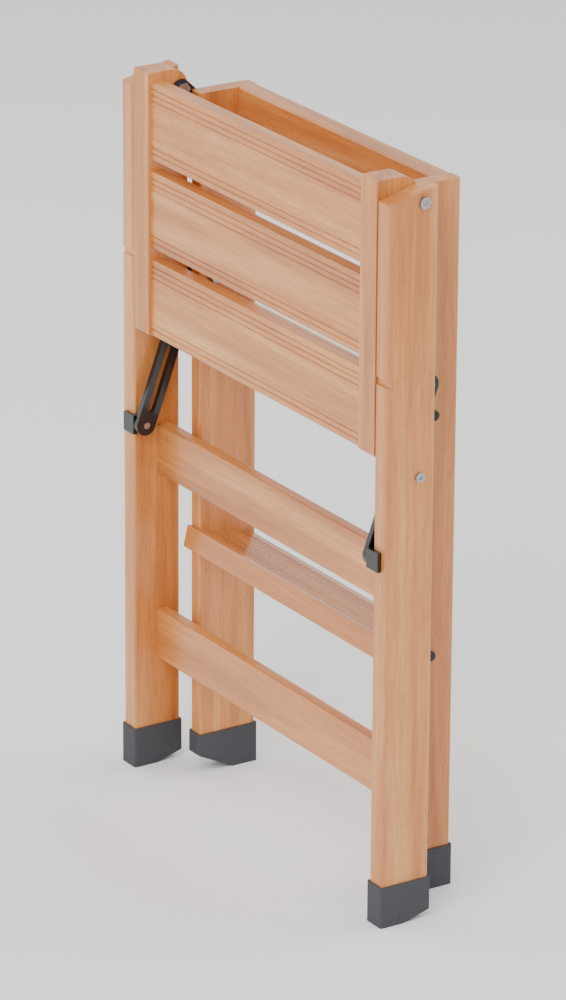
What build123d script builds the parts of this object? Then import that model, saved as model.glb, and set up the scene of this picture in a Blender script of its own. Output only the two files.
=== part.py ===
"""Folding wooden step ladder, modelled folded and standing on its feet.

X runs across the ladder, +Y from the rear frame to the climbing frame, +Z up.
The origin is on the floor, in the middle of the folded ladder.
"""

import os
from math import atan2, cos, degrees, hypot, radians, sin

from build123d import *

# Frames: overall places, all in millimetres
frame_width = 487
hinge_height = 738
hinge_to_front = 38
between_frames = 31
frame_opening = 25

# Rear frame: two legs and two flat rails
leg_thick = 22
leg_depth = 54
leg_above_hinge = 15
leg_top_fall = 13
leg_notch_below_hinge = 175
leg_notch_height = 8
leg_notch_deep = 2.5
rail_thick = 14
rail_setback = 27
rail_height = 55
lower_rail_bottom = 117
upper_rail_below_hinge = 361

# Climbing frame: two stiles, a top rail and two sloping treads
stile_thick = 18
stile_depth = 67
stile_setback = 10.5
stile_below_hinge = 2
top_rail_thick = 22
top_rail_height = 55
tread_thick = 23
tread_slope = frame_opening / 2
tread_lip = 4
lower_tread_top = 272
upper_tread_below_hinge = 216
tread_rib_pitch = 5
tread_rib_width = 2
tread_rib_deep = 0.8
tread_rib_margin = 7

# Feet: rubber caps pushed over the leg ends
cap_wall = 2
cap_height = 43
sole_thick = 6
rear_pad_length = 25
rear_heel_rise = 9
stile_pad_length = 30
stile_toe_rise = 20

# Platform: two rails and three grooved slats
platform_rail_thick = 27.5
platform_rail_depth = 46
platform_below_hinge = 254
platform_above_hinge = 21
platform_tail_round = 18
platform_relief_depth = 20
platform_relief_height = 48
slat_count = 3
slat_thick = 15
slat_gap = 12
slat_recess = 3.5
slat_top_margin = 9
slat_groove_pitch = 6
low_grooves = 2
high_grooves = 3
slat_groove_width = 1.6
slat_groove_deep = 1
slat_groove_margin = 7

# Stays, their pivots and the catches on the rear legs
stay_thick = 6
stay_width = 22
stay_pivot_back = 28
stay_pivot_down = 195
stay_guide_back = -1
stay_guide_down = 274
stay_length = 172
stay_slot_width = 8.4
stay_to_leg = 6.5
catch_lap = 4.5
catch_cover = 14
catch_height = 20
catch_depth = 16
catch_gap = 1
rivet_radius = 3.5
rivet_head = 1.5

# Hardware
hinge_bolt_radius = 4
stay_bolt_radius = 3.5
running_gap = 0.05
bolt_head_radius = 6
bolt_head_thick = 3
small_head_radius = 5
socket_across = 4
socket_deep = 1.5
small_head_thick = 2.5
nut_across = 13
nut_thick = 5
washer_radius = 10
washer_thick = 1
plate_thick = 2
plate_nose_radius = 10
plate_heel_radius = 13
plate_heel_back = 30
plate_heel_down = 32
plate_tail_back = 26
plate_tail_down = 102
plate_screw_radius = 2
plate_screw_length = 12
tread_bolt_radius = 3
tread_bolt_length = 40
tread_bolt_inset = 20
dowel_radius = 4
dowel_length = 24
dowel_gap = 0.1
dowel_end_gap = 0.3
edge_round = 2.5
small_round = 1.5

# Places worked out from the sizes above
leg_outer = frame_width / 2
leg_inner = leg_outer - leg_thick
stile_outer = leg_inner - between_frames
stile_inner = stile_outer - stile_thick
plate_outer = stile_outer + plate_thick
platform_outer = leg_inner - washer_thick
platform_inner = platform_outer - platform_rail_thick
stay_outer = leg_inner - stay_to_leg
stay_inner = stay_outer - stay_thick
front_reach = hinge_to_front + catch_lap
back_reach = stile_setback + stile_depth + cap_wall
hinge_y = (front_reach - back_reach) / 2
leg_front = hinge_y - hinge_to_front
leg_back = leg_front + leg_depth
stile_front = hinge_y + stile_setback
stile_back = stile_front + stile_depth
stile_top = hinge_height - stile_below_hinge
leg_top = hinge_height + leg_above_hinge
rail_front = leg_front + rail_setback
upper_rail_bottom = hinge_height - upper_rail_below_hinge - rail_height
upper_tread_top = hinge_height - upper_tread_below_hinge
rail_middle = rail_front + rail_thick / 2
top_rail_front = stile_back - top_rail_thick
platform_front = leg_front
platform_back = platform_front + platform_rail_depth
platform_bottom = hinge_height - platform_below_hinge
platform_top = hinge_height + platform_above_hinge
slat_front = platform_front + slat_recess
slat_middle = slat_front + slat_thick / 2
slat_room = platform_top - slat_top_margin - platform_bottom
slat_height = (slat_room - (slat_count - 1) * slat_gap) / slat_count
hinge = (hinge_y, hinge_height)
hinge_hole_radius = hinge_bolt_radius + running_gap
stay_hole_radius = stay_bolt_radius + running_gap
tread_hole_radius = tread_bolt_radius + dowel_gap
plate_hole_radius = plate_screw_radius + running_gap
plate_screw_end = stile_outer - plate_screw_length
stay_pivot = (hinge_y + stay_pivot_back, hinge_height - stay_pivot_down)
stay_guide = (hinge_y + stay_guide_back, hinge_height - stay_guide_down)
stay_run = (stay_guide[0] - stay_pivot[0], stay_guide[1] - stay_pivot[1])
stay_folded = hypot(*stay_run)
open_turn = radians(frame_opening)
guide_open_back = stay_guide_back * cos(open_turn) - stay_guide_down * sin(open_turn)
guide_open_down = stay_guide_down * cos(open_turn) + stay_guide_back * sin(open_turn)
stay_opened = hypot(guide_open_back - stay_pivot_back, guide_open_down - stay_pivot_down)
stay_way = (stay_run[0] / stay_folded, stay_run[1] / stay_folded)
stay_angle = degrees(atan2(stay_run[1], stay_run[0]))
slope_run = cos(radians(tread_slope))
slope_fall = sin(radians(tread_slope))
sides = {"left": -1, "right": 1}

os.makedirs("parts", exist_ok=True)


def save(piece, name):
    """Labels a finished piece and writes its STEP file."""
    piece.part.label = name
    export_step(piece.part, f"parts/{name}.step")


def layer(side, near, far):
    """Gives the plane and the thickness of a board between two distances from the middle."""
    return Plane.YZ.offset(min(side * near, side * far)), far - near


def along_stay(distance):
    """Gives the point on the stay's middle line at a distance from its pivot."""
    return (stay_pivot[0] + distance * stay_way[0], stay_pivot[1] + distance * stay_way[1])


def rod(side, near, far, places, radius, mode=Mode.ADD):
    """Adds or cuts round rods that run across the ladder."""
    plane, length = layer(side, near, far)
    with BuildSketch(plane) as section:
        with Locations(*places):
            Circle(radius)
    extrude(section.sketch, amount=length, mode=mode)


def nut(side, near, far, place):
    """Adds a hexagon nut that lies between two distances from the middle."""
    plane, length = layer(side, near, far)
    with BuildSketch(plane) as section:
        with Locations(place):
            RegularPolygon(nut_across / 2, 6, major_radius=False)
    extrude(section.sketch, amount=length)


def socket(side, face, place):
    """Cuts a hexagon socket into the outer face of a bolt head."""
    plane, length = layer(side, face - socket_deep, face)
    with BuildSketch(plane) as section:
        with Locations(place):
            RegularPolygon(socket_across / 2, 6, major_radius=False)
    extrude(section.sketch, amount=length, mode=Mode.SUBTRACT)


# Dowel places, as distances along Y and heights
def pair_of_dowels(y, bottom, height):
    return [(y, bottom + height / 4), (y, bottom + height * 3 / 4)]


rail_dowels = pair_of_dowels(rail_middle, lower_rail_bottom, rail_height)
rail_dowels += pair_of_dowels(rail_middle, upper_rail_bottom, rail_height)
top_rail_middle = top_rail_front + top_rail_thick / 2
top_rail_dowels = pair_of_dowels(top_rail_middle, stile_top - top_rail_height, top_rail_height)
slat_bottoms = [platform_bottom + i * (slat_height + slat_gap) for i in range(slat_count)]
slat_dowels = []
for slat_bottom in slat_bottoms:
    slat_dowels += pair_of_dowels(slat_middle, slat_bottom, slat_height)


def dowel_holes(side, joint, places, inward):
    """Cuts the dowel holes of one board, on the inner or the outer side of a joint face."""
    reach = dowel_length / 2 + dowel_end_gap
    near = joint - reach if inward else joint
    rod(side, near, near + reach, places, dowel_radius + dowel_gap, Mode.SUBTRACT)


# Rear legs: solid beech, cut on the slope at both ends
leg_outline = [
    (leg_front, sole_thick),
    (leg_back, sole_thick + rear_heel_rise),
    (leg_back, leg_top),
    (leg_front, leg_top - leg_top_fall),
]
for name, side in sides.items():
    plane, thick = layer(side, leg_inner, leg_outer)
    with BuildPart() as rear_leg:
        with BuildSketch(plane):
            with BuildLine():
                Polyline(*leg_outline, close=True)
            make_face()
        extrude(amount=thick)
        fillet(rear_leg.edges().filter_by(Axis.Z), edge_round)
        rod(side, leg_inner, leg_outer, [hinge], hinge_hole_radius, Mode.SUBTRACT)
        rod(side, leg_inner, leg_outer, [stay_guide], stay_hole_radius, Mode.SUBTRACT)
        dowel_holes(side, leg_inner, rail_dowels, False)
        with BuildSketch(plane):
            with Locations((leg_front, hinge_height - leg_notch_below_hinge)):
                Rectangle(2 * leg_notch_deep, leg_notch_height)
        extrude(amount=thick, mode=Mode.SUBTRACT)
    save(rear_leg, f"rear_leg_{name}")

# Rear rails: flat boards doweled between the legs
for name, bottom in {"lower": lower_rail_bottom, "upper": upper_rail_bottom}.items():
    with BuildPart() as rear_rail:
        with BuildSketch(Plane.YZ.offset(-leg_inner)):
            with Locations((rail_middle, bottom + rail_height / 2)):
                Rectangle(rail_thick, rail_height)
        extrude(amount=2 * leg_inner)
        fillet(rear_rail.edges().filter_by(Axis.X), edge_round)
        for side in sides.values():
            dowel_holes(side, leg_inner, pair_of_dowels(rail_middle, bottom, rail_height), True)
    save(rear_rail, f"rear_{name}_rail")

# Climbing stiles: wider, thinner boards set inside the rear legs
stile_outline = [
    (stile_front, sole_thick + stile_toe_rise),
    (stile_back, sole_thick),
    (stile_back, stile_top),
    (stile_front, stile_top),
]
tread_tops = {"lower": lower_tread_top, "upper": upper_tread_top}


def on_tread(top, along, down):
    """Gives a point of a tread's cross-section, from its front top edge."""
    y = stile_front - tread_lip + along * slope_run - down * slope_fall
    return (y, top - along * slope_fall - down * slope_run)


tread_depth = (stile_depth + tread_lip) / slope_run - tread_thick * slope_fall / slope_run
tread_bolt_places = []
for top in tread_tops.values():
    tread_bolt_places.append(on_tread(top, tread_bolt_inset, tread_thick / 2))
    tread_bolt_places.append(on_tread(top, tread_depth - tread_bolt_inset, tread_thick / 2))
plate_screw_places = [
    (hinge_y + plate_heel_back, hinge_height - plate_heel_down),
    (hinge_y + plate_tail_back, hinge_height - plate_tail_down),
]
for name, side in sides.items():
    plane, thick = layer(side, stile_inner, stile_outer)
    with BuildPart() as stile:
        with BuildSketch(plane):
            with BuildLine():
                Polyline(*stile_outline, close=True)
            make_face()
        extrude(amount=thick)
        fillet(stile.edges().filter_by(Axis.Z), edge_round)
        rod(side, stile_inner, stile_outer, [stay_pivot], stay_hole_radius, Mode.SUBTRACT)
        rod(side, stile_inner, stile_outer, tread_bolt_places, tread_hole_radius, Mode.SUBTRACT)
        rod(side, plate_screw_end, stile_outer, plate_screw_places, plate_hole_radius, Mode.SUBTRACT)
        dowel_holes(side, stile_inner, top_rail_dowels, False)
    save(stile, f"climbing_stile_{name}")

# Top rail of the climbing frame, between the stiles at their back
with BuildPart() as top_rail:
    with BuildSketch(Plane.YZ.offset(-stile_inner)):
        with Locations((top_rail_middle, stile_top - top_rail_height / 2)):
            Rectangle(top_rail_thick, top_rail_height)
    extrude(amount=2 * stile_inner)
    fillet(top_rail.edges().filter_by(Axis.X), edge_round)
    for side in sides.values():
        dowel_holes(side, stile_inner, top_rail_dowels, True)
save(top_rail, "climbing_top_rail")

# Treads: sloping boards with a ribbed top, whose front lip laps the stiles
rib_room = tread_depth - 2 * tread_rib_margin
rib_count = int(rib_room // tread_rib_pitch) + 1
for name, top in tread_tops.items():
    outline = [
        on_tread(top, 0, 0),
        on_tread(top, tread_depth, 0),
        on_tread(top, tread_depth, tread_thick),
        on_tread(top, 0, tread_thick),
    ]
    bolts = [
        on_tread(top, tread_bolt_inset, tread_thick / 2),
        on_tread(top, tread_depth - tread_bolt_inset, tread_thick / 2),
    ]
    ribs = [on_tread(top, tread_rib_margin + i * tread_rib_pitch, 0) for i in range(rib_count)]
    with BuildPart() as tread:
        with BuildSketch(Plane.YZ.offset(-stile_inner)):
            with BuildLine():
                Polyline(*outline, close=True)
            make_face()
        extrude(amount=2 * stile_inner)
        with BuildSketch(Plane.YZ.offset(-stile_outer)):
            with BuildLine():
                Polyline(*outline, close=True)
            make_face()
            with Locations((stile_front - tread_thick, top)):
                Rectangle(2 * tread_thick, 4 * tread_thick, mode=Mode.INTERSECT)
        extrude(amount=2 * stile_outer)
        with BuildSketch(Plane.YZ.offset(-stile_inner)):
            with Locations(*ribs):
                Rectangle(tread_rib_width, 2 * tread_rib_deep, rotation=-tread_slope)
        extrude(amount=2 * stile_inner, mode=Mode.SUBTRACT)
        for side in sides.values():
            rod(side, stile_outer - tread_bolt_length, stile_inner, bolts, tread_hole_radius, Mode.SUBTRACT)
    save(tread, f"{name}_tread")

# Feet: rubber caps with a flat pad and a sole that rises away from it
rear_cap_outline = [
    (leg_front - cap_wall, 0),
    (leg_front - cap_wall + rear_pad_length, 0),
    (leg_back + cap_wall, rear_heel_rise),
    (leg_back + cap_wall, cap_height),
    (leg_front - cap_wall, cap_height),
]
stile_cap_outline = [
    (stile_front - cap_wall, stile_toe_rise),
    (stile_back + cap_wall - stile_pad_length, 0),
    (stile_back + cap_wall, 0),
    (stile_back + cap_wall, cap_height),
    (stile_front - cap_wall, cap_height),
]
caps = {
    "rear": (rear_cap_outline, leg_outline, leg_inner, leg_outer),
    "climbing": (stile_cap_outline, stile_outline, stile_inner, stile_outer),
}
for frame_name, (cap_outline, board_outline, near, far) in caps.items():
    for name, side in sides.items():
        cap_plane, cap_thick = layer(side, near - cap_wall, far + cap_wall)
        board_plane, board_thick = layer(side, near, far)
        with BuildPart() as foot:
            with BuildSketch(cap_plane):
                with BuildLine():
                    Polyline(*cap_outline, close=True)
                make_face()
            extrude(amount=cap_thick)
            fillet(foot.edges().filter_by(Axis.Z), edge_round)
            with BuildSketch(board_plane):
                with BuildLine():
                    Polyline(*board_outline, close=True)
                make_face()
            extrude(amount=board_thick, mode=Mode.SUBTRACT)
        save(foot, f"{frame_name}_foot_{name}")

# Platform rails: rounded behind the hinge, with the lower back corner cut for the stay
platform_outline = [
    (platform_front, platform_bottom),
    (platform_back - platform_relief_depth, platform_bottom),
    (platform_back, platform_bottom + platform_relief_height),
    (platform_back, platform_top),
    (platform_front, platform_top),
]
for name, side in sides.items():
    plane, thick = layer(side, platform_inner, platform_outer)
    with BuildPart() as platform_rail:
        with BuildSketch(plane):
            with BuildLine():
                Polyline(*platform_outline, close=True)
            make_face()
        extrude(amount=thick)
        top_edges = platform_rail.edges().filter_by(Axis.X).group_by(Axis.Z)[-1]
        fillet(top_edges.sort_by(Axis.Y)[-1], platform_tail_round)
        fillet(platform_rail.edges().filter_by(Axis.X).sort_by(Axis.Y)[:2], edge_round)
        rod(side, platform_inner, platform_outer, [hinge], hinge_hole_radius, Mode.SUBTRACT)
        dowel_holes(side, platform_inner, slat_dowels, False)
    save(platform_rail, f"platform_rail_{name}")

# Platform slats: grooved along both long edges, plain in the middle
slat_names = ["bottom", "middle", "top"]
for i in range(slat_count):
    slat_bottom = slat_bottoms[i]
    grooves = [slat_bottom + slat_groove_margin + k * slat_groove_pitch for k in range(low_grooves)]
    slat_high = slat_bottom + slat_height - slat_groove_margin
    grooves += [slat_high - k * slat_groove_pitch for k in range(high_grooves)]
    with BuildPart() as slat:
        with BuildSketch(Plane.YZ.offset(-platform_inner)):
            with Locations((slat_middle, slat_bottom + slat_height / 2)):
                Rectangle(slat_thick, slat_height)
        extrude(amount=2 * platform_inner)
        fillet(slat.edges().filter_by(Axis.X), small_round)
        with BuildSketch(Plane.YZ.offset(-platform_inner)):
            with Locations(*[(slat_front, z) for z in grooves]):
                Rectangle(2 * slat_groove_deep, slat_groove_width)
        extrude(amount=2 * platform_inner, mode=Mode.SUBTRACT)
        for side in sides.values():
            dowel_holes(side, platform_inner, pair_of_dowels(slat_middle, slat_bottom, slat_height), True)
    save(slat, f"platform_slat_{slat_names[i]}")

# Dowels: hidden beech pins in the board joints
dowel_sets = {
    "rear_rail_dowels": (leg_inner, rail_dowels),
    "top_rail_dowels": (stile_inner, top_rail_dowels),
    "platform_dowels": (platform_inner, slat_dowels),
}
for name, (joint, places) in dowel_sets.items():
    with BuildPart() as dowels:
        for side in sides.values():
            rod(side, joint - dowel_length / 2, joint + dowel_length / 2, places, dowel_radius)
    save(dowels, name)

# Stays: black moulded bars with a long slot, a rivet at the end and a pivot bolt on the stile
stay_end = along_stay(stay_length)
stay_centre = along_stay(stay_length / 2)
slot_length = stay_opened - stay_folded
slot_centre = along_stay((stay_opened + stay_folded) / 2)
for name, side in sides.items():
    plane, thick = layer(side, stay_inner, stay_outer)
    with BuildPart() as stay:
        with BuildSketch(plane):
            with Locations(stay_centre):
                SlotCenterToCenter(stay_length, stay_width, rotation=stay_angle)
            with Locations(stay_pivot):
                Circle(stay_hole_radius, mode=Mode.SUBTRACT)
            with Locations(slot_centre):
                SlotCenterToCenter(slot_length, stay_slot_width, rotation=stay_angle, mode=Mode.SUBTRACT)
            with Locations(stay_end):
                Circle(rivet_radius / 2 + dowel_gap, mode=Mode.SUBTRACT)
        extrude(amount=thick)
    save(stay, f"stay_{name}")
    with BuildPart() as rivet:
        rod(side, stay_inner, stay_outer, [stay_end], rivet_radius / 2)
        rod(side, stay_inner - rivet_head, stay_inner, [stay_end], rivet_radius)
    save(rivet, f"stay_rivet_{name}")

# Hinge plates: black steel plates on the stiles' outer faces, reaching forward to the hinge
for name, side in sides.items():
    plane, thick = layer(side, stile_outer, plate_outer)
    with BuildPart() as plate:
        with BuildSketch(plane):
            with Locations(hinge):
                Circle(plate_nose_radius)
            with Locations(plate_screw_places[0]):
                Circle(plate_heel_radius)
            with Locations(plate_screw_places[1]):
                Circle(plate_nose_radius)
            make_hull()
            with Locations(hinge):
                Circle(hinge_hole_radius, mode=Mode.SUBTRACT)
            with Locations(*plate_screw_places):
                Circle(plate_hole_radius, mode=Mode.SUBTRACT)
        extrude(amount=thick)
    save(plate, f"hinge_plate_{name}")

with BuildPart() as plate_screws:
    for side in sides.values():
        rod(side, plate_screw_end, plate_outer, plate_screw_places, plate_screw_radius)
        rod(side, plate_outer, plate_outer + small_head_thick, plate_screw_places, 2 * plate_screw_radius)
save(plate_screws, "hinge_plate_screws")

# Hinge bolts: one through each leg, platform rail and hinge plate, with a nut inside
for name, side in sides.items():
    with BuildPart() as hinge_bolt:
        rod(side, stile_outer - nut_thick, leg_outer, [hinge], hinge_bolt_radius)
        rod(side, leg_outer, leg_outer + bolt_head_thick, [hinge], bolt_head_radius)
        nut(side, stile_outer - nut_thick, stile_outer, hinge)
        socket(side, leg_outer + bolt_head_thick, hinge)
    save(hinge_bolt, f"hinge_bolt_{name}")

with BuildPart() as washers:
    for side in sides.values():
        rod(side, platform_outer, leg_inner, [hinge], washer_radius)
        rod(side, platform_outer, leg_inner, [hinge], hinge_hole_radius, Mode.SUBTRACT)
save(washers, "hinge_washers")

# Stay pivot bolts in the stiles, with a spacer that holds the stay off the stile
for name, side in sides.items():
    with BuildPart() as pivot_bolt:
        rod(side, stile_inner - nut_thick, stay_outer + running_gap, [stay_pivot], stay_bolt_radius)
        rod(side, stay_outer + running_gap, stay_outer + small_head_thick, [stay_pivot], small_head_radius)
        nut(side, stile_inner - nut_thick, stile_inner, stay_pivot)
    save(pivot_bolt, f"stay_pivot_bolt_{name}")
    with BuildPart() as spacer:
        rod(side, stile_outer, stay_inner, [stay_pivot], small_head_radius)
        rod(side, stile_outer, stay_inner, [stay_pivot], stay_hole_radius, Mode.SUBTRACT)
    save(spacer, f"stay_spacer_{name}")

# Guide bolts through the rear legs, whose nuts stop just short of the stays
for name, side in sides.items():
    with BuildPart() as guide_bolt:
        rod(side, leg_inner - nut_thick, leg_outer, [stay_guide], stay_bolt_radius)
        rod(side, leg_outer, leg_outer + small_head_thick, [stay_guide], small_head_radius)
        nut(side, leg_inner - nut_thick, leg_inner, stay_guide)
        socket(side, leg_outer + small_head_thick, stay_guide)
    save(guide_bolt, f"stay_guide_bolt_{name}")

# Catches: black blocks on the rear legs that lap the front edge beside the stay's end
catch_z = stay_end[1]
catch_near = stay_outer + catch_gap
for name, side in sides.items():
    plane, thick = layer(side, catch_near, leg_inner)
    lap_plane, lap_thick = layer(side, catch_near, leg_inner + catch_cover)
    with BuildPart() as catch:
        with BuildSketch(plane):
            with Locations((leg_front + (catch_depth - catch_lap) / 2, catch_z)):
                Rectangle(catch_depth + catch_lap, catch_height)
        extrude(amount=thick)
        with BuildSketch(lap_plane):
            with Locations((leg_front - catch_lap / 2, catch_z)):
                Rectangle(catch_lap, catch_height)
        extrude(amount=lap_thick)
    save(catch, f"stay_catch_{name}")

# Tread bolts: driven through the stiles into the ends of each tread
with BuildPart() as tread_bolts:
    for side in sides.values():
        rod(side, stile_outer - tread_bolt_length, stile_outer, tread_bolt_places, tread_bolt_radius)
        rod(side, stile_outer, stile_outer + small_head_thick, tread_bolt_places, small_head_radius)
save(tread_bolts, "tread_bolts")
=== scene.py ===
import math

import bpy
from mathutils import Euler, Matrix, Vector


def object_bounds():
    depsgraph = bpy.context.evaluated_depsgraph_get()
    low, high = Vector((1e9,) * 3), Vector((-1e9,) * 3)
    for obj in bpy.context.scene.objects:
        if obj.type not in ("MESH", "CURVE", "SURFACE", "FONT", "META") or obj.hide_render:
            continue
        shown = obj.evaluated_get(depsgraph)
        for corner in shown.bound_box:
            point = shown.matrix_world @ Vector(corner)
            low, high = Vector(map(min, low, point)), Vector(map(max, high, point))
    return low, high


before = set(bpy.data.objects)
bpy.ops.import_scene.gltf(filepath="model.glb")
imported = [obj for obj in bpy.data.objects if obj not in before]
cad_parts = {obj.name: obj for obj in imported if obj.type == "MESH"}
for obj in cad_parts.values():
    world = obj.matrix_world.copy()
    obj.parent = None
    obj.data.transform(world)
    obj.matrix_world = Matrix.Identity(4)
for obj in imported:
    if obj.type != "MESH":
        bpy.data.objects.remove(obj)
cad_low, cad_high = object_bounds()

# Camera: a long lens some way off, on the rear frame's side and to the right, looking down on the
# ladder. It is aimed at a point near the ladder's middle line, a little under half its height.
view_turn = math.radians(57.4)
view_drop = math.radians(20.8)
view_distance = 5.62
sensor_width_mm = 36
focal_share = 5.65
aim_height = 0.358
aim_across = -0.015
picture_roll = math.radians(0.35)
view_back = Vector(
    (
        math.sin(view_turn) * math.cos(view_drop),
        -math.cos(view_turn) * math.cos(view_drop),
        math.sin(view_drop),
    )
)
view_right = Vector((math.cos(view_turn), math.sin(view_turn), 0))
aim = Vector((0, 0, aim_height)) + view_right * aim_across
camera_data = bpy.data.cameras.new("camera")
camera_data.sensor_width = sensor_width_mm
camera_data.lens = sensor_width_mm * focal_share
camera_data.clip_end = 50
camera = bpy.data.objects.new("camera", camera_data)
camera.location = aim + view_back * view_distance
level = Euler((math.pi / 2 - view_drop, 0, view_turn)).to_matrix()
camera.rotation_euler = (level @ Euler((0, 0, picture_roll)).to_matrix()).to_euler()
bpy.context.collection.objects.link(camera)
bpy.context.scene.camera = camera


# Floor: a wide sheet of white-painted studio board that the ladder stands on. The flat paint is matte,
# so it takes a soft shadow and shows no clear reflection.
def linear(hex_colour):
    """Turns an sRGB hex colour into the linear colour that a shader takes."""
    parts = [int(hex_colour[i : i + 2], 16) / 255 for i in (1, 3, 5)]
    return [p / 12.92 if p <= 0.04045 else ((p + 0.055) / 1.055) ** 2.4 for p in parts] + [1.0]


def add_node(material, kind, settings=None, links=None):
    """Adds one node to a material, with its settings and the links into it."""
    node = material.node_tree.nodes.new(kind)
    for name, value in (settings or {}).items():
        if name in node.inputs:
            node.inputs[name].default_value = value
        else:
            setattr(node, name, value)
    for name, source in (links or {}).items():
        material.node_tree.links.new(source, node.inputs[name])
    return node


def link(material, source, target):
    """Links one socket of a material to another."""
    material.node_tree.links.new(source, target)


def new_material(name):
    """Makes a material, and gives it with its shader and the object's coordinates."""
    material = bpy.data.materials.new(name)
    material.use_nodes = True
    shader = material.node_tree.nodes["Principled BSDF"]
    place = add_node(material, "ShaderNodeTexCoord").outputs["Object"]
    return material, shader, place


floor_size = 12
bpy.ops.object.select_all(action="DESELECT")
bpy.ops.mesh.primitive_plane_add(size=floor_size, location=(0, 0, 0))
floor = bpy.context.object
floor.name = "floor"
floor_paint, floor_shader, _ = new_material("white_studio_floor")
floor_shader.inputs["Base Color"].default_value = linear("#FBFBFA")
floor_shader.inputs["Roughness"].default_value = 0.9
floor.data.materials.append(floor_paint)

# Light: an even white surround and three square panels aimed at the ladder's middle. The strong key
# stands on the rear frame's side to the right and a weaker fill on that side to the left. The third
# stands on the climbing frame's side.
surround_strength = 1.0
ladder_middle = (cad_low + cad_high) / 2
world = bpy.context.scene.world or bpy.data.worlds.new("studio")
bpy.context.scene.world = world
world.use_nodes = True
world.node_tree.nodes["Background"].inputs["Color"].default_value = linear("#FFFFFF")
world.node_tree.nodes["Background"].inputs["Strength"].default_value = surround_strength
for name, place, panel_size, watts in (
    ("key_light", (1.6, -2.4, 2.4), 2.2, 80),
    ("fill_light", (-2.2, -1.2, 1.6), 2.5, 22),
    ("back_light", (0.5, 2.4, 2.2), 2.0, 30),
):
    light_data = bpy.data.lights.new(name, "AREA")
    light_data.size = panel_size
    light_data.energy = watts
    light = bpy.data.objects.new(name, light_data)
    light.location = place
    light.rotation_euler = (ladder_middle - Vector(place)).to_track_quat("-Z", "Y").to_euler()
    bpy.context.collection.objects.link(light)

# Frames: two rear legs and two climbing stiles of planed beech with upright grain, and flat beech
# rails with their grain running across the ladder. Hidden dowels join them, and all are varnished.
sides = ("left", "right")
beech_dark = "#AE6226"
beech_middle = "#D08440"
beech_light = "#E8A662"
grain_width = 0.007
band_width = grain_width * 4
streak_width = grain_width / 3
grain_stretch = 0.05
band_stops = (0.25, 0.5, 0.75)
streak_stops = (0.35, 0.6)
streak_shade = (0.72, 0.66, 0.62, 1)
streak_share = 0.6
fleck_length = 0.006
fleck_width = 0.0006
fleck_coarsening = 4
fleck_stops = (0.10, 0.22)
fleck_shade = (0.62, 0.5, 0.42, 1)
fleck_share = 0.7
unshaded = (1, 1, 1, 1)
duller_streak = 0.08
glossier_streak = 0.06
varnish_relief = 0.0003
varnish_relief_strength = 0.12
varnish_coat = 0.45
varnish_coat_roughness = 0.22
varnish_ior = 1.5
across = 0
upright = 2

# Numbers of a Mix node's colour sockets, which share their names with its other sockets.
first_colour = 6
second_colour = 7
mixed_colour = 2


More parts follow.
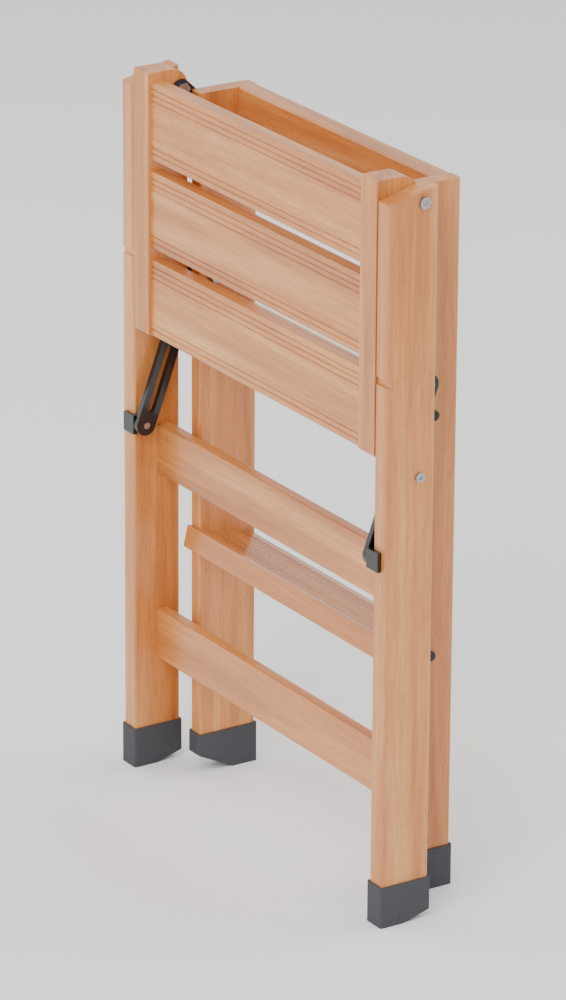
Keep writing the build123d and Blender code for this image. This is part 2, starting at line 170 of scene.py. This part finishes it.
# Varnished beech: warm bands and fine streaks along the grain, with short dark flecks, under a tinted
# varnish that gives rounded edges a soft highlight. The flecks are drawn four times their real size,
# because real ones are too fine to show.
def varnished_beech(name, along, tint=1.0, gloss=0.36):
    """Makes varnished beech whose grain runs along one axis of the ladder."""
    material, shader, place = new_material(name)
    grain_scale = [1.0, 1.0, 1.0]
    grain_scale[along] = grain_stretch
    grain_place = add_node(material, "ShaderNodeMapping", {"Scale": grain_scale}, {"Vector": place})
    bands = add_node(
        material,
        "ShaderNodeTexNoise",
        {"Scale": 1 / band_width, "Detail": 6.0, "Roughness": 0.6, "Distortion": 0.6},
        {"Vector": grain_place.outputs["Vector"]},
    )
    streaks = add_node(
        material,
        "ShaderNodeTexNoise",
        {"Scale": 1 / streak_width, "Detail": 4.0, "Roughness": 0.7},
        {"Vector": grain_place.outputs["Vector"]},
    )
    band_tones = add_node(material, "ShaderNodeValToRGB", {}, {"Fac": bands.outputs["Fac"]})
    band_tones.color_ramp.elements[0].position = band_stops[0]
    band_tones.color_ramp.elements[0].color = linear(beech_dark)
    band_tones.color_ramp.elements[1].position = band_stops[2]
    band_tones.color_ramp.elements[1].color = linear(beech_light)
    band_tones.color_ramp.elements.new(band_stops[1]).color = linear(beech_middle)
    streak_tones = add_node(material, "ShaderNodeValToRGB", {}, {"Fac": streaks.outputs["Fac"]})
    streak_tones.color_ramp.elements[0].position = streak_stops[0]
    streak_tones.color_ramp.elements[0].color = streak_shade
    streak_tones.color_ramp.elements[1].position = streak_stops[1]
    streak_tones.color_ramp.elements[1].color = (tint, tint, tint, 1)
    grain = add_node(
        material,
        "ShaderNodeMix",
        {"data_type": "RGBA", "blend_type": "MULTIPLY", "Factor": streak_share},
        {first_colour: band_tones.outputs["Color"], second_colour: streak_tones.outputs["Color"]},
    )
    fleck_scale = [1 / fleck_width] * 3
    fleck_scale[along] = 1 / fleck_length
    fleck_place = add_node(
        material,
        "ShaderNodeMapping",
        {"Scale": [scale / fleck_coarsening for scale in fleck_scale]},
        {"Vector": place},
    )
    flecks = add_node(
        material, "ShaderNodeTexVoronoi", {"Scale": 1.0}, {"Vector": fleck_place.outputs["Vector"]}
    )
    fleck_tones = add_node(material, "ShaderNodeValToRGB", {}, {"Fac": flecks.outputs["Distance"]})
    fleck_tones.color_ramp.elements[0].position = fleck_stops[0]
    fleck_tones.color_ramp.elements[0].color = fleck_shade
    fleck_tones.color_ramp.elements[1].position = fleck_stops[1]
    fleck_tones.color_ramp.elements[1].color = unshaded
    wood = add_node(
        material,
        "ShaderNodeMix",
        {"data_type": "RGBA", "blend_type": "MULTIPLY", "Factor": fleck_share},
        {first_colour: grain.outputs[mixed_colour], second_colour: fleck_tones.outputs["Color"]},
    )
    link(material, wood.outputs[mixed_colour], shader.inputs["Base Color"])
    sheen = add_node(
        material,
        "ShaderNodeMapRange",
        {"To Min": gloss - glossier_streak, "To Max": gloss + duller_streak},
        {"Value": streaks.outputs["Fac"]},
    )
    link(material, sheen.outputs["Result"], shader.inputs["Roughness"])
    relief = add_node(
        material,
        "ShaderNodeBump",
        {"Strength": varnish_relief_strength, "Distance": varnish_relief},
        {"Height": streaks.outputs["Fac"]},
    )
    link(material, relief.outputs["Normal"], shader.inputs["Normal"])
    shader.inputs["Coat Weight"].default_value = varnish_coat
    shader.inputs["Coat Roughness"].default_value = varnish_coat_roughness
    shader.inputs["IOR"].default_value = varnish_ior
    return material


def finish_nodes(material, names):
    """Gives carried-over pieces their finish."""
    for name in names:
        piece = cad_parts[name]
        piece.data.materials.clear()
        piece.data.materials.append(material)


upright_beech = varnished_beech("varnished_beech_upright", upright)
crosswise_beech = varnished_beech("varnished_beech_crosswise", across)
finish_nodes(upright_beech, [f"rear_leg_{side}" for side in sides])
finish_nodes(upright_beech, [f"climbing_stile_{side}" for side in sides])
finish_nodes(crosswise_beech, ["rear_lower_rail", "rear_upper_rail", "climbing_top_rail"])

# Treads: beech boards with fine ribs milled along their tops for grip, bolted between the stiles.
# Their wood is slightly darker, and glossier varnish lets the ribs catch a pale reflection.
tread_beech = varnished_beech("varnished_beech_tread", across, tint=0.95, gloss=0.2)
finish_nodes(tread_beech, ["lower_tread", "upper_tread"])

# Platform: two beech rails, with three grooved beech slats doweled between them. The slats are a
# little paler and glossier than the frames.
slat_beech = varnished_beech("varnished_beech_slat", across, tint=1.04, gloss=0.33)
finish_nodes(upright_beech, [f"platform_rail_{side}" for side in sides])
finish_nodes(slat_beech, [f"platform_slat_{part}" for part in ("bottom", "middle", "top")])

# Dowels: turned beech pins glued into the joints, where nothing of them shows. Their wood is a little
# paler and duller than the frames'.
dowel_beech = varnished_beech("bare_beech_dowel", across, tint=1.1, gloss=0.6)
finish_nodes(dowel_beech, ["rear_rail_dowels", "top_rail_dowels", "platform_dowels"])


# Feet: caps of moulded charcoal rubber, pushed over the lower ends of the legs and the stiles. The
# mould's fine texture leaves them matte, with a faint speckle.
speck_stops = (0.35, 0.7)
speck_gloss = 0.06
speck_relief_strength = 0.25


# Grainy finishes: a faint speckle that breaks up the colour and the reflections. The specks are drawn
# about 1 to 2 mm wide, because real ones are too fine to show.
def grainy_finish(name, dark, light, grain, roughness, metallic=0.0, relief_depth=0.0001, coat=0.0):
    """Makes a finish with a fine grain that varies its colour, gloss and relief."""
    material, shader, place = new_material(name)
    specks = add_node(
        material,
        "ShaderNodeTexNoise",
        {"Scale": 1 / grain, "Detail": 5.0, "Roughness": 0.6},
        {"Vector": place},
    )
    speck_tones = add_node(material, "ShaderNodeValToRGB", {}, {"Fac": specks.outputs["Fac"]})
    speck_tones.color_ramp.elements[0].position = speck_stops[0]
    speck_tones.color_ramp.elements[0].color = linear(dark)
    speck_tones.color_ramp.elements[1].position = speck_stops[1]
    speck_tones.color_ramp.elements[1].color = linear(light)
    link(material, speck_tones.outputs["Color"], shader.inputs["Base Color"])
    sheen = add_node(
        material,
        "ShaderNodeMapRange",
        {"To Min": roughness - speck_gloss, "To Max": roughness + speck_gloss},
        {"Value": specks.outputs["Fac"]},
    )
    link(material, sheen.outputs["Result"], shader.inputs["Roughness"])
    relief = add_node(
        material,
        "ShaderNodeBump",
        {"Strength": speck_relief_strength, "Distance": relief_depth},
        {"Height": specks.outputs["Fac"]},
    )
    link(material, relief.outputs["Normal"], shader.inputs["Normal"])
    shader.inputs["Metallic"].default_value = metallic
    shader.inputs["Coat Weight"].default_value = coat
    return material


foot_rubber = grainy_finish(
    "moulded_rubber_charcoal", "#34353A", "#44464C", grain=0.0012, roughness=0.72, relief_depth=0.0002
)
finish_nodes(foot_rubber, [f"{part}_foot_{side}" for part in ("rear", "climbing") for side in sides])

# Stays, spacers and catches: injection-moulded nylon, black all through and smooth, with a soft
# gloss. The stays turn on bolts in the stiles, and the catches are fixed to the rear legs.
stay_parts = ("stay", "stay_spacer", "stay_catch")
black_nylon = grainy_finish(
    "moulded_nylon_black", "#0B0B0D", "#151518", grain=0.002, roughness=0.3, coat=0.25
)
finish_nodes(black_nylon, [f"{part}_{side}" for part in stay_parts for side in sides])

# Hinge plates, their screws and the tread bolts: steel under a black powder coat, which is slightly
# pebbled and only half glossy. The plates are pressed and screwed on at the hinge.
powder_coat = grainy_finish(
    "powder_coated_steel_black", "#141416", "#1E1E21", grain=0.0008, roughness=0.48
)
finish_nodes(powder_coat, [f"hinge_plate_{side}" for side in sides])
finish_nodes(powder_coat, ["hinge_plate_screws", "tread_bolts"])

# Bolts, rivets and washers: zinc-plated steel, bright grey, with the plating's fine uneven grain in
# its reflections. The bolts hold the hinge, and the stays turn on them.
zinc_parts = ("hinge_bolt", "stay_guide_bolt", "stay_pivot_bolt", "stay_rivet")
zinc_steel = grainy_finish(
    "zinc_plated_steel", "#9A9A9C", "#C4C4C6", grain=0.0015, roughness=0.3, metallic=1.0
)
finish_nodes(zinc_steel, [f"{part}_{side}" for part in zinc_parts for side in sides])
finish_nodes(zinc_steel, ["hinge_washers"])
